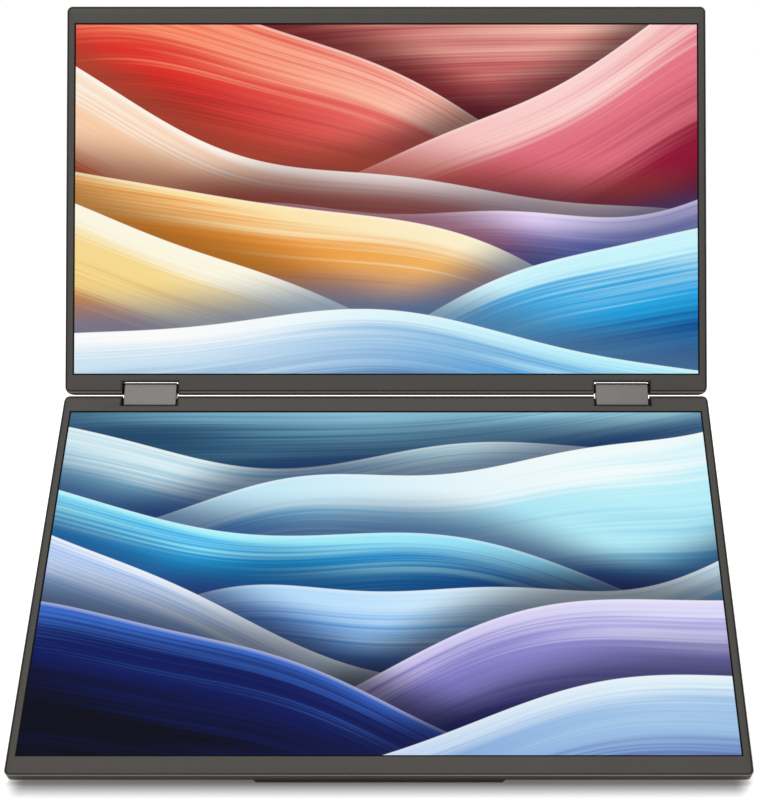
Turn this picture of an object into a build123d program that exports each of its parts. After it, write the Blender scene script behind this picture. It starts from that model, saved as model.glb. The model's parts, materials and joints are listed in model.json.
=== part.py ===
from build123d import *
from math import asin, atan2, cos, degrees, hypot, radians, sin, sqrt
import os

# Two 15.6-inch screens in slim cases, one above the other, joined along their long edges by two
# friction hinges with two axes each. The lower case leans back on a kickstand and a front foot.
# Lengths are millimetres and angles degrees. The origin is the middle of the front foot's sole,
# with +X to the viewer's right, +Y away from the viewer and +Z up.
# Each half is drawn in a frame of its own: X along the hinge axis, Y up the screen and Z out of
# the screen, with its hinge axis as origin. The side is +1 for the upper half and -1 for the lower.

# Posture
lower_tilt = 46
opening_angle = 148

# Screens
lit_width = 344.16
lit_height = 193.59
side_border = 4.9
free_border = 10.1
hinge_border = 11.8
window_margin = 0.5
window_chamfer = 0.35
screen_sink = 0.5
lcd_margin = 2.2
lcd_thick = 1.2
lcd_chamfer = 0.2
backlight_thick = 1.6
backlight_inset = 0.2
tray_sheet = 0.5
panel_gap = 0.15

# Cases
case_thick = 8.2
edge_past_axis = 3.55
closed_gap = 0.4
wall = 1.3
floor_thick = 1.1
rim_width = 0.6
hinge_rim = 2
rim_drop = 0.2
bezel_thick = 1.6
seam_width = 0.5
seam_depth = 0.8
free_corner = 3
hinge_corner = 4.5
back_edge = 1.2
free_bevel = 2.2
free_wall = 2.6
rim_edge = 0.4
fit_gap = 0.05
overrun = 2
diagonal = 45
post_radius = 2.6
post_column_share = 0.43
boss_sides = 6
post_row_shares = (0.2, 0.86)

# Hinge blocks
hinge_column_share = 0.3673
block_width = 28.8
block_past_axis = 2.8
block_thick = 6.2
block_corner = 1.8
block_edge = 0.4
block_gap = 0.95
notch_depth = 3.9
notch_wall = 1.3
notch_rim = 0.8
cavity_radius = 1.75
inner_wall = 3
cap_thick = 1.5
hinge_play = 0.1
run_gap = 0.03

# Hinge shafts and clips
shaft_radius = 1.25
shaft_flats = 1.9
shaft_tail = 0.4
shaft_hole_gap = 0.3
clip_count = 2
clip_gap = 0.5
clip_radius = 1.7
clip_slit = 0.5

# Hinge leaves
lug_half = 2.1
eye_width = 8
leaf_length = 36
leaf_height = 22
leaf_thick = 1.2
leaf_corner = 3
boss_height = 1.3
boss_radius = 2.2
leaf_screw_shares = ((0.34, 0.82), (0.88, 0.4), (0.88, 0.82))
screw_radius = 1
screw_head_radius = 1.7
screw_head = 0.55
screw_reach = 3
screw_gap = 0.02

# Front foot and back pads
foot_length = 121
foot_base = 2.9
foot_tread = 2
foot_taper = 2
foot_proud = 1
foot_sink = 1.1
pad_length = 18
pad_width = 6
pad_thick = 0.8
pad_corner = 2
pad_column_share = 0.42
pad_row_shares = (0.13, 0.9)

# Kickstand
stand_width_share = 0.4972
stand_drop_share = 0.2932
stand_reach_share = 0.6669
stand_thick = 2.4
stand_float = 0.2
stand_gap = 0.4
stand_edge = 0.4
stand_foot_depth = 6
stand_foot_corner = 4
stand_tread = 0.9
recess_roof = 1
scoop_radius = 9
scoop_depth = 2
scoop_row_share = 0.86
stand_pin_radius = 0.7
stand_pin_length = 20
bracket_inset = 20
bracket_width = 10
bracket_length = 7
bracket_pad = 0.8
bracket_eye = 1.1
bracket_screw_share = 0.62
bracket_screw_radius = 0.8
bracket_screw_head = 1.5
bracket_screw_reach = 1.6

# Boards, sockets, buttons and speakers
board_thick = 1
main_board_lead = 22
main_board_gap = 1.2
main_boss_inset = 5
chip_height = 1
chip_sizes = (16, 12, 9)
chip_row_shares = (0.25, 0.55, 0.8)
chip_column_share = 0.4
timing_board_gap = 17
timing_board_height = 16
timing_board_rise = 6
timing_chip = 9
timing_chip_shares = (-0.3, 0, 0.3)
port_depth = 7.4
port_skin = 0.3
port_sink = 0.25
port_gap = 0.1
port_z = -1.35
tongue_setback = 1.2
tongue_thick = 0.7
usb_c_width = 8.94
usb_c_height = 3.16
usb_c_corner = 1.5
usb_c_tongue = 6.69
hdmi_width = 11.2
hdmi_height = 3.1
hdmi_corner = 0.5
hdmi_tongue = 8
first_port_drop = 100
port_pitch = 18
button_length = 9
button_height = 2.2
button_corner = 0.8
button_proud = 0.35
button_flange = 0.7
button_flange_thick = 0.8
button_stem = 3
button_stem_thick = 1.6
button_gap = 0.15
button_travel = 0.35
button_z = -1.35
first_button_drop = 44
button_pitch = 14
switch_size = 3
switch_depth = 1.6
switch_gap = 0.15
button_board_inset = 11
button_board_margin = 6
speaker_length = 36
speaker_height = 12
speaker_depth = 2.8
cone_inset = 2
speaker_inset = 1
cone_width = 9.2
cone_corner = 3
cone_depth = 1.2
slot_count = 9
slot_pitch = 3
slot_width = 1.2
slot_length = 7

# Levels of a half, outwards from its hinge axis
front_z = case_thick / 2
back_z = -case_thick / 2
rim_z = front_z - rim_drop
ledge_z = front_z - bezel_thick
floor_z = back_z + floor_thick
lcd_z = front_z - screen_sink
lcd_back_z = lcd_z - lcd_thick
tray_z = lcd_back_z - backlight_thick
tray_back_z = tray_z - tray_sheet
leaf_back_z = floor_z + boss_height
leaf_z = leaf_back_z + leaf_thick

# Outlines of a half, up from its hinge axis
case_width = lit_width + 2 * side_border
case_height = lit_height + free_border + hinge_border
far_y = case_height - edge_past_axis
case_mid_y = far_y - case_height / 2
lit_near_y = hinge_border - edge_past_axis
lit_mid_y = lit_near_y + lit_height / 2
lcd_width = lit_width + 2 * lcd_margin
lcd_height = lit_height + 2 * lcd_margin
tray_width = lcd_width + 2 * (panel_gap + tray_sheet)
tray_height = lcd_height + 2 * (panel_gap + tray_sheet)
bezel_width = case_width - 2 * rim_width
bezel_height = case_height - rim_width - hinge_rim
bezel_mid_y = far_y - rim_width - bezel_height / 2
hinge_x = hinge_column_share * case_width

# Stations along a hinge, inwards from the middle of its block
axis_spacing = case_thick + closed_gap
block_end = block_width / 2
notch_end = block_end + block_gap
cap_end = cap_thick - block_end
cavity_end = block_end - inner_wall
eye_start = notch_end + notch_wall + shaft_hole_gap
eye_end = eye_start + eye_width
clip_pitch = (cavity_end - cap_end) / clip_count
timing_board_width = 2 * (hinge_x - eye_start - leaf_length - timing_board_gap)
shaft_spots = ((-axis_spacing / 2, 0), (axis_spacing / 2, 0))

# Frames of the bodies at rest
half_fold = (180 - opening_angle) / 2
block_tilt = lower_tilt + half_fold
upper_tilt = lower_tilt + 2 * half_fold
down_y = -sin(radians(lower_tilt))
down_z = -cos(radians(lower_tilt))
foot_edge_y = free_bevel - far_y
foot_edge_z = back_z + free_bevel
foot_height = foot_sink + foot_proud
sole_y = foot_edge_y + (free_bevel + foot_proud) * down_y
sole_z = foot_edge_z + (free_bevel + foot_proud) * down_z


def tilted_plane(origin, tilt):
    """Frame whose Y axis rises at the tilt, away from the viewer."""
    return Plane(origin, x_dir=(1, 0, 0), z_dir=(0, -sin(radians(tilt)), cos(radians(tilt))))


lower_axis = (0, sole_y * down_z - sole_z * down_y, sole_y * down_y + sole_z * down_z)
lower_plane = tilted_plane(lower_axis, lower_tilt)
block_from_lower = tilted_plane(lower_axis, block_tilt)
block_plane = tilted_plane(block_from_lower.from_local_coords((0, axis_spacing / 2, 0)), block_tilt)
upper_axis = block_plane.from_local_coords((0, axis_spacing / 2, 0))
upper_plane = tilted_plane(upper_axis, upper_tilt)

# The stand's axis lies halfway through its plate, and the stand opens until its foot is down
stand_width = stand_width_share * case_width
stand_reach = stand_reach_share * far_y
stand_axis_y = -stand_drop_share * far_y
stand_axis_z = back_z + stand_thick / 2
stand_axis = lower_plane.from_local_coords((0, stand_axis_y, stand_axis_z))
stand_corner_angle = degrees(atan2(stand_thick / 2, stand_reach))
stand_corner_reach = hypot(stand_thick / 2, stand_reach)
stand_dip = degrees(asin((stand_axis.Z + stand_tread) / stand_corner_reach)) - stand_corner_angle
stand_plane = tilted_plane(stand_axis, -stand_dip)
stand_plate_reach = stand_reach - stand_foot_depth
bracket_x = stand_width / 2 - bracket_inset


def write_piece(piece, name, plane):
    """Sets a finished piece in its body's frame, labels it and writes it."""
    placed = plane.from_local_coords(piece.part)
    placed.label = name
    export_step(placed, f"parts/{name}.step")


def across(inward, start, end):
    """Plane across a hinge at the leftmost of two stations, and the distance between them."""
    first, last = sorted(inward * (station - hinge_x) for station in (start, end))
    return Plane.YZ.offset(first), last - first


def corner_rows(side):
    """Places of the free and the hinge edge's corners among an outline's corners grouped by Y."""
    return (-1, 0) if side > 0 else (0, -1)


def case_outline(side):
    """Outline of a case, with tighter corners along its free edge."""
    free_row, hinge_row = corner_rows(side)
    with BuildSketch() as outline:
        with Locations((0, side * case_mid_y)):
            Rectangle(case_width, case_height)
        fillet(outline.vertices().group_by(Axis.Y)[free_row], free_corner)
        fillet(outline.vertices().group_by(Axis.Y)[hinge_row], hinge_corner)
    return outline.sketch


def cavity_outline(side):
    """Outline of the space inside a case, with cut corners and clear of the hinge notches."""
    free_row, hinge_row = corner_rows(side)
    with BuildSketch() as outline:
        with Locations((0, side * (case_mid_y + (wall - free_wall) / 2))):
            Rectangle(case_width - 2 * wall, case_height - wall - free_wall)
        chamfer(outline.vertices().group_by(Axis.Y)[free_row], free_corner - wall)
        chamfer(outline.vertices().group_by(Axis.Y)[hinge_row], hinge_corner - wall)
        add(notch_pair(side, notch_wall), mode=Mode.SUBTRACT)
    return outline.sketch


def notch_pair(side, grow=0):
    """The two notches in a case's hinge edge that the hinge blocks turn in."""
    bottom = -edge_past_axis - overrun
    top = notch_depth + grow
    with BuildSketch() as notches:
        with Locations(*[(x, side * (bottom + top) / 2) for x in (-hinge_x, hinge_x)]):
            Rectangle(2 * (notch_end + grow), top - bottom)
    return notches.sketch


def bezel_outline(side, grow=0):
    """Outline of a bezel, cut away round the hinge notches."""
    free_row, hinge_row = corner_rows(side)
    with BuildSketch() as outline:
        with Locations((0, side * bezel_mid_y)):
            Rectangle(bezel_width + 2 * grow, bezel_height + 2 * grow)
        fillet(outline.vertices().group_by(Axis.Y)[free_row], free_corner - rim_width + grow)
        fillet(outline.vertices().group_by(Axis.Y)[hinge_row], hinge_corner - hinge_rim + grow)
        add(notch_pair(side, notch_rim - grow), mode=Mode.SUBTRACT)
    return outline.sketch


def edge_waste(side):
    """What is cut off a half's hinge edge, to leave it round about the hinge axis."""
    with BuildSketch(Plane.YZ.offset(-case_width)) as waste:
        with Locations((-side * case_thick / 2, 0)):
            Rectangle(case_thick, 2 * case_thick)
        Circle(case_thick / 2, mode=Mode.SUBTRACT)
    return waste.sketch


def bevel_waste(side):
    """What is cut off the back of a half's free edge, so that the edge looks slim."""
    with BuildSketch(Plane.YZ.offset(-case_width)) as waste:
        with Locations((side * far_y, back_z)):
            Rectangle(free_bevel * sqrt(2), free_bevel * sqrt(2), rotation=diagonal)
    return waste.sketch


def panel_face(side, width, height):
    """A rectangle about the middle of the lit area."""
    with BuildSketch() as face:
        with Locations((0, side * lit_mid_y)):
            Rectangle(width, height)
    return face.sketch


def leaf_screw_spots(side):
    """Places of the screws that hold both leaves of a half."""
    return [
        (inward * (eye_start + column * leaf_length - hinge_x), side * row * leaf_height)
        for inward in (1, -1)
        for column, row in leaf_screw_shares
    ]


def post_spots(side):
    """Places of the posts that carry a panel tray."""
    return [
        (column * lit_width, side * (lit_near_y + row * lit_height))
        for column in (-post_column_share, post_column_share)
        for row in post_row_shares
    ]


def make_rear_cover(side):
    """Tray-shaped rear cover with a bezel seat, hinge notches, tray posts and screw bosses."""
    with BuildPart() as cover:
        with BuildSketch(Plane.XY.offset(back_z)):
            add(case_outline(side))
        extrude(amount=rim_z - back_z)
        chamfer(cover.edges().group_by(Axis.Z)[0], back_edge)
        chamfer(cover.edges().group_by(Axis.Z)[-1], rim_edge)
        with BuildSketch(Plane.XY.offset(floor_z)):
            add(cavity_outline(side))
        extrude(amount=ledge_z - floor_z, mode=Mode.SUBTRACT)
        with BuildSketch(Plane.XY.offset(ledge_z)):
            add(bezel_outline(side, fit_gap))
        extrude(amount=bezel_thick, mode=Mode.SUBTRACT)
        with BuildSketch(Plane.XY.offset(floor_z)):
            with Locations(*post_spots(side)):
                RegularPolygon(post_radius, boss_sides)
        extrude(amount=tray_back_z - floor_z)
        with BuildSketch(Plane.XY.offset(floor_z)):
            with Locations(*leaf_screw_spots(side)):
                RegularPolygon(boss_radius, boss_sides)
        extrude(amount=boss_height)
        with BuildSketch(Plane.XY.offset(leaf_z - screw_reach - screw_gap)):
            with Locations(*leaf_screw_spots(side)):
                RegularPolygon(screw_radius + screw_gap, boss_sides)
        extrude(amount=screw_reach, mode=Mode.SUBTRACT)
        with BuildSketch(Plane.XY.offset(back_z)):
            add(notch_pair(side))
        extrude(amount=case_thick, mode=Mode.SUBTRACT)
        for inward in (1, -1):
            plane, length = across(inward, notch_end - overrun, eye_start)
            with BuildSketch(plane):
                Circle(shaft_radius + shaft_hole_gap)
            extrude(amount=length, mode=Mode.SUBTRACT)
        extrude(edge_waste(side), amount=2 * case_width, mode=Mode.SUBTRACT)
        extrude(bevel_waste(side), amount=2 * case_width, mode=Mode.SUBTRACT)
    return cover


def make_bezel(side):
    """Front frame with a shadow gap round it, whose lip laps over the border of the LCD panel."""
    with BuildPart() as bezel:
        with BuildSketch(Plane.XY.offset(ledge_z)):
            add(bezel_outline(side))
        extrude(amount=bezel_thick - seam_depth)
        with BuildSketch(Plane.XY.offset(front_z - seam_depth)):
            add(bezel_outline(side, -seam_width))
        extrude(amount=seam_depth)
        with BuildSketch(Plane.XY.offset(ledge_z)):
            add(panel_face(side, lcd_width + 2 * panel_gap, lcd_height + 2 * panel_gap))
        extrude(amount=lcd_z + fit_gap - ledge_z, mode=Mode.SUBTRACT)
        with BuildSketch(Plane.XY.offset(ledge_z)):
            add(panel_face(side, lit_width + 2 * window_margin, lit_height + 2 * window_margin))
        extrude(amount=bezel_thick, mode=Mode.SUBTRACT)
        front_face = bezel.faces().sort_by(Axis.Z)[-1]
        chamfer(front_face.inner_wires()[0].edges(), window_chamfer)
        extrude(edge_waste(side), amount=2 * case_width, mode=Mode.SUBTRACT)
    return bezel


def make_lcd_panel(side):
    """Glass sandwich of the LCD, a little larger than its lit area."""
    with BuildPart() as panel:
        with BuildSketch(Plane.XY.offset(lcd_back_z)):
            add(panel_face(side, lcd_width, lcd_height))
        extrude(amount=lcd_thick)
        chamfer(panel.edges().group_by(Axis.Z)[-1], lcd_chamfer)
    return panel


def make_backlight(side):
    """Light guide and films behind the LCD."""
    width = lcd_width - 2 * backlight_inset
    height = lcd_height - 2 * backlight_inset
    with BuildPart() as backlight:
        with BuildSketch(Plane.XY.offset(tray_z)):
            add(panel_face(side, width, height))
        extrude(amount=backlight_thick)
    return backlight


def make_panel_tray(side):
    """Pressed sheet tray that holds the backlight and the LCD."""
    with BuildPart() as tray:
        with BuildSketch(Plane.XY.offset(tray_back_z)):
            add(panel_face(side, tray_width, tray_height))
        extrude(amount=lcd_back_z - tray_back_z)
        with BuildSketch(Plane.XY.offset(tray_z)):
            add(panel_face(side, tray_width - 2 * tray_sheet, tray_height - 2 * tray_sheet))
        extrude(amount=lcd_back_z - tray_z, mode=Mode.SUBTRACT)
    return tray


def make_shaft(inward):
    """Hinge shaft through the clips and the bearing wall, with a flatted tail in the leaf."""
    with BuildPart() as shaft:
        plane, length = across(inward, cap_end + hinge_play, eye_start)
        with BuildSketch(plane):
            Circle(shaft_radius)
        extrude(amount=length)
        plane, length = across(inward, eye_start, eye_end + shaft_tail)
        with BuildSketch(plane):
            Circle(shaft_radius)
            Rectangle(2 * shaft_radius, shaft_flats, mode=Mode.INTERSECT)
        extrude(amount=length)
    return shaft


def make_leaf(side, inward):
    """Steel leaf with a flatted eye for the shaft's tail in its lug and a plate on the bosses."""
    with BuildPart() as leaf:
        plane, length = across(inward, eye_start, eye_end)
        with BuildSketch(plane):
            Rectangle(2 * lug_half, 2 * lug_half)
        extrude(amount=length)
        plane, length = across(inward, eye_start, eye_start + leaf_length)
        with BuildSketch(plane):
            with Locations((side * leaf_height / 2, leaf_back_z + leaf_thick / 2)):
                Rectangle(leaf_height, leaf_thick)
        extrude(amount=length)
        far_row = -1 if side > 0 else 0
        fillet(leaf.edges().filter_by(Axis.Z).group_by(Axis.Y)[far_row], leaf_corner)
        plane, length = across(inward, eye_start, eye_end + 2 * shaft_tail)
        with BuildSketch(plane):
            Circle(shaft_radius + screw_gap)
            Rectangle(2 * (shaft_radius + screw_gap), shaft_flats + 2 * screw_gap, mode=Mode.INTERSECT)
        extrude(amount=length, mode=Mode.SUBTRACT)
        spots = [spot for spot in leaf_screw_spots(side) if spot[0] * inward < 0]
        with BuildSketch(Plane.XY.offset(leaf_back_z)):
            with Locations(*spots):
                RegularPolygon(screw_radius + screw_gap, boss_sides)
        extrude(amount=leaf_thick, mode=Mode.SUBTRACT)
    return leaf


def make_leaf_screws(side):
    """Hexagon-head screws that hold both leaves of a half, drawn with few faces."""
    with BuildPart() as screws:
        with BuildSketch(Plane.XY.offset(leaf_z)):
            with Locations(*leaf_screw_spots(side)):
                RegularPolygon(screw_head_radius, boss_sides)
        extrude(amount=screw_head)
        with BuildSketch(Plane.XY.offset(leaf_z)):
            with Locations(*leaf_screw_spots(side)):
                RegularPolygon(screw_radius, boss_sides)
        extrude(amount=-screw_reach)
    return screws


def cavity_face(plane, play=0):
    """Section of a hinge block's cavity, or of a piece that fits in it with the play all round."""
    with BuildSketch(plane) as face:
        Rectangle(axis_spacing + 2 * (cavity_radius - play), 2 * (cavity_radius - play))
    return face.sketch


def make_hinge_housing(inward):
    """Hinge block: a sleeve round both shafts, closed at its inner end by a bearing wall."""
    with BuildPart() as housing:
        plane, length = across(inward, -block_end, block_end)
        with BuildSketch(plane):
            RectangleRounded(axis_spacing + 2 * block_past_axis, block_thick, block_corner)
        extrude(amount=length)
        ends = housing.faces().filter_by(Axis.X)
        chamfer(ends.edges(), block_edge)
        plane, length = across(inward, -block_end, cavity_end)
        extrude(cavity_face(plane), amount=length, mode=Mode.SUBTRACT)
        plane, length = across(inward, cavity_end, block_end)
        with BuildSketch(plane):
            with Locations(*shaft_spots):
                Circle(shaft_radius + run_gap)
        extrude(amount=length, mode=Mode.SUBTRACT)
    return housing


def make_end_cap(inward):
    """Plug that closes the outer end of a hinge block."""
    with BuildPart() as cap:
        plane, length = across(inward, -block_end, cap_end)
        extrude(cavity_face(plane, run_gap), amount=length)
    return cap


def make_friction_clips(inward):
    """Stack of spring clips, each with two slit eyes that grip the shafts."""
    slit_reach = axis_spacing / 2 + clip_radius
    with BuildPart() as clips:
        for number in range(clip_count):
            start = cap_end + hinge_play + number * clip_pitch
            plane, length = across(inward, start, start + clip_pitch - clip_gap)
            with BuildSketch(plane):
                Rectangle(2 * slit_reach, 2 * clip_radius)
                with Locations(*shaft_spots):
                    Circle(shaft_radius + run_gap, mode=Mode.SUBTRACT)
                with Locations((-slit_reach, 0), (slit_reach, 0)):
                    Rectangle(clip_radius, clip_slit, mode=Mode.SUBTRACT)
            extrude(amount=length)
    return clips


# Sockets in the lower case's right wall, by their drop below the hinge axis
ports = {
    "usb_c_port_1": (first_port_drop, usb_c_width, usb_c_height, usb_c_corner, usb_c_tongue),
    "usb_c_port_2": (first_port_drop + port_pitch, usb_c_width, usb_c_height, usb_c_corner, usb_c_tongue),
    "mini_hdmi_port": (first_port_drop + 2 * port_pitch, hdmi_width, hdmi_height, hdmi_corner, hdmi_tongue),
}
port_back_x = case_width / 2 - port_sink - port_depth
port_wall_x = case_width / 2 - wall

# Buttons in the lower case's left wall, by their drop below the hinge axis
buttons = {
    "power_button": first_button_drop,
    "menu_up_button": first_button_drop + button_pitch,
    "menu_down_button": first_button_drop + 2 * button_pitch,
}
button_wall_x = wall - case_width / 2
button_face_x = -case_width / 2 - button_proud
flange_x = button_wall_x + button_flange_thick + fit_gap
button_board_x = case_width / 2 - button_board_inset
switch_x = -button_board_x - switch_depth
stem_x = switch_x - button_travel - switch_gap

# The stand's recess in the lower case's back
recess_top_y = stand_axis_y + stand_thick / 2 + stand_gap
recess_bottom_y = stand_axis_y - stand_reach - stand_gap
recess_width = stand_width + 2 * stand_gap
recess_z = back_z + stand_thick + stand_float
scoop_spot = (recess_width / 2, stand_axis_y - scoop_row_share * stand_reach)

# The main board and the speakers lie between the recess and the side walls
inner_side_x = recess_width / 2 + scoop_radius + wall
board_left_x = inner_side_x + main_board_gap
board_right_x = port_wall_x - main_board_gap
board_width = board_right_x - board_left_x
board_top_y = main_board_lead - first_port_drop
board_bottom_y = post_radius + main_board_gap - lit_near_y - post_row_shares[-1] * lit_height
board_height = board_top_y - board_bottom_y
board_z = port_z - board_thick / 2
board_boss_spots = [
    (x, y)
    for x in (board_left_x + main_boss_inset, port_back_x - boss_radius - main_board_gap)
    for y in (board_bottom_y + main_boss_inset, board_top_y - main_boss_inset)
]
speaker_x = (inner_side_x + port_wall_x) / 2
speaker_y = free_wall + speaker_inset + speaker_height / 2 - far_y
speaker_spots = {"speaker_left": (-speaker_x, speaker_y), "speaker_right": (speaker_x, speaker_y)}
pad_spots = [
    (column * case_width, -row * far_y)
    for column in (-pad_column_share, pad_column_share)
    for row in pad_row_shares
]
bracket_screw_y = stand_axis_y - bracket_screw_share * bracket_length
bracket_screw_spots = [(-bracket_x, bracket_screw_y), (bracket_x, bracket_screw_y)]
seat_plane = Plane(
    (0, foot_edge_y + (free_bevel - foot_sink) * down_y, foot_edge_z + (free_bevel - foot_sink) * down_z),
    x_dir=(1, 0, 0),
    z_dir=(0, down_y, down_z),
)


def cut_corner_face(length, height, corner):
    """A rectangle with its corners cut off."""
    with BuildSketch() as face:
        Rectangle(length, height)
        chamfer(face.vertices(), corner)
    return face.sketch


def recess_face(grow=0):
    """Outline of the stand's recess."""
    with BuildSketch() as face:
        with Locations((0, (recess_top_y + recess_bottom_y) / 2)):
            Rectangle(recess_width + 2 * grow, recess_top_y - recess_bottom_y + 2 * grow)
    return face.sketch


def make_lower_rear_cover():
    """Rear cover of the lower half, with the stand's recess, sockets, buttons and grilles."""
    with BuildPart() as cover:
        add(make_rear_cover(-1).part)
        with BuildSketch(Plane.XY.offset(floor_z)):
            add(recess_face(wall))
            with Locations(scoop_spot):
                RegularPolygon(scoop_radius + 2 * wall, boss_sides)
        extrude(amount=recess_z + recess_roof - floor_z)
        with BuildSketch(Plane.XY.offset(back_z)):
            add(recess_face())
        extrude(amount=recess_z - back_z, mode=Mode.SUBTRACT)
        with BuildSketch(Plane.XY.offset(back_z)):
            with Locations(scoop_spot):
                Circle(scoop_radius)
        extrude(amount=scoop_depth, mode=Mode.SUBTRACT)
        with BuildSketch(Plane.XY.offset(recess_z)):
            with Locations(*bracket_screw_spots):
                RegularPolygon(bracket_screw_radius + screw_gap, boss_sides)
        extrude(amount=recess_roof, mode=Mode.SUBTRACT)
        with BuildSketch(Plane.XY.offset(floor_z)):
            with Locations(*board_boss_spots):
                RegularPolygon(boss_radius, boss_sides)
        extrude(amount=board_z - floor_z)
        for drop, width, height, corner, _ in ports.values():
            with BuildSketch(Plane.YZ.offset(port_wall_x)):
                with Locations((-drop, port_z)):
                    RectangleRounded(width + 2 * port_gap, height + 2 * port_gap, corner)
            extrude(amount=2 * wall, mode=Mode.SUBTRACT)
        opening_length = button_length + 2 * button_gap
        opening_height = button_height + 2 * button_gap
        for drop in buttons.values():
            with BuildSketch(Plane.YZ.offset(button_wall_x - 2 * wall)):
                with Locations((-drop, button_z)):
                    add(cut_corner_face(opening_length, opening_height, button_corner))
            extrude(amount=2 * wall, mode=Mode.SUBTRACT)
        for spot in speaker_spots.values():
            with BuildSketch(Plane.XY.offset(back_z)):
                with Locations(spot):
                    with GridLocations(slot_pitch, 0, slot_count, 1):
                        Rectangle(slot_width, slot_length)
            extrude(amount=floor_thick, mode=Mode.SUBTRACT)
        with BuildSketch(seat_plane):
            Rectangle(foot_length + 2 * fit_gap, 2 * case_thick)
        extrude(amount=case_thick, mode=Mode.SUBTRACT)
    return cover


def make_port(drop, width, height, corner, tongue):
    """Socket shell with a tongue inside, open at the case's wall."""
    with BuildPart() as port:
        with BuildSketch(Plane.YZ.offset(port_back_x)):
            with Locations((-drop, port_z)):
                RectangleRounded(width, height, corner)
        extrude(amount=port_depth)
        with BuildSketch(Plane.YZ.offset(port_back_x + port_skin)):
            with Locations((-drop, port_z)):
                RectangleRounded(width - 2 * port_skin, height - 2 * port_skin, corner - port_skin)
        extrude(amount=port_depth, mode=Mode.SUBTRACT)
        with BuildSketch(Plane.YZ.offset(port_back_x)):
            with Locations((-drop, port_z)):
                Rectangle(tongue, tongue_thick)
        extrude(amount=port_depth - tongue_setback)
    return port


def make_button(drop):
    """Push button with a flange behind the wall and a stem towards its switch."""
    with BuildPart() as button:
        with BuildSketch(Plane.YZ.offset(button_face_x)):
            with Locations((-drop, button_z)):
                add(cut_corner_face(button_length, button_height, button_corner))
        extrude(amount=button_wall_x + fit_gap - button_face_x)
        chamfer(button.edges().group_by(Axis.X)[0], button_proud / 2)
        with BuildSketch(Plane.YZ.offset(button_wall_x + fit_gap)):
            with Locations((-drop, button_z)):
                Rectangle(button_length + 2 * button_flange, button_height + button_flange)
        extrude(amount=button_flange_thick)
        with BuildSketch(Plane.YZ.offset(flange_x)):
            with Locations((-drop, button_z)):
                Rectangle(button_stem, button_stem_thick)
        extrude(amount=stem_x - flange_x)
    return button


def make_button_board():
    """Upright board behind the buttons, with one switch for each."""
    drops = list(buttons.values())
    length = drops[-1] - drops[0] + 2 * button_board_margin
    with BuildPart() as board:
        with BuildSketch(Plane.YZ.offset(-button_board_x)):
            with Locations((-(drops[0] + drops[-1]) / 2, (floor_z + tray_back_z) / 2)):
                Rectangle(length, tray_back_z - floor_z)
        extrude(amount=board_thick)
        with BuildSketch(Plane.YZ.offset(switch_x)):
            with Locations(*[(-drop, button_z) for drop in drops]):
                Rectangle(switch_size, min(switch_size, tray_back_z - floor_z))
        extrude(amount=switch_depth)
    return board


def make_main_board():
    """Main board at the sockets' mid height, cut out round their shells, with its chips."""
    cut_width = 2 * (board_right_x - port_back_x + port_gap)
    chip_x = board_left_x + chip_column_share * board_width
    with BuildPart() as board:
        with BuildSketch(Plane.XY.offset(board_z)):
            with Locations(((board_left_x + board_right_x) / 2, (board_top_y + board_bottom_y) / 2)):
                Rectangle(board_width, board_height)
            for drop, width, _, _, _ in ports.values():
                with Locations((board_right_x, -drop)):
                    Rectangle(cut_width, width + 2 * port_gap, mode=Mode.SUBTRACT)
        extrude(amount=board_thick)
        for size, row in zip(chip_sizes, chip_row_shares):
            with BuildSketch(Plane.XY.offset(board_z + board_thick)):
                with Locations((chip_x, board_top_y - row * board_height)):
                    Rectangle(size, size)
            extrude(amount=chip_height)
    return board


def make_timing_board():
    """Timing board on the back of the upper panel tray."""
    middle_y = lit_near_y + timing_board_rise + timing_board_height / 2
    with BuildPart() as board:
        with BuildSketch(Plane.XY.offset(tray_back_z - board_thick)):
            with Locations((0, middle_y)):
                Rectangle(timing_board_width, timing_board_height)
        extrude(amount=board_thick)
        with BuildSketch(Plane.XY.offset(tray_back_z - board_thick - chip_height)):
            with Locations(*[(share * timing_board_width, middle_y) for share in timing_chip_shares]):
                Rectangle(timing_chip, timing_chip)
        extrude(amount=chip_height)
    return board


def make_speaker(spot):
    """Flat box speaker whose cone faces the slots in the floor."""
    with BuildPart() as speaker:
        with BuildSketch(Plane.XY.offset(floor_z)):
            with Locations(spot):
                Rectangle(speaker_length, speaker_height)
        extrude(amount=speaker_depth)
        with BuildSketch(Plane.XY.offset(floor_z)):
            with Locations(spot):
                add(cut_corner_face(speaker_length - 2 * cone_inset, cone_width, cone_corner))
        extrude(amount=cone_depth, mode=Mode.SUBTRACT)
    return speaker


def make_front_foot():
    """Rubber strip on the lower case's bottom corner, with a flat sole and sloping ends."""
    with BuildPart() as foot:
        with BuildSketch(seat_plane):
            Rectangle(foot_length, foot_base)
        with BuildSketch(seat_plane.offset(foot_height)):
            Rectangle(foot_length - 2 * foot_taper, foot_tread)
        loft(ruled=True)
    return foot


def make_back_pads():
    """Four low pads that the lower case lies on when it is laid flat."""
    with BuildPart() as pads:
        with BuildSketch(Plane.XY.offset(back_z - pad_thick)):
            with Locations(*pad_spots):
                add(cut_corner_face(pad_length, pad_width, pad_corner))
        extrude(amount=pad_thick)
    return pads


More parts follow.
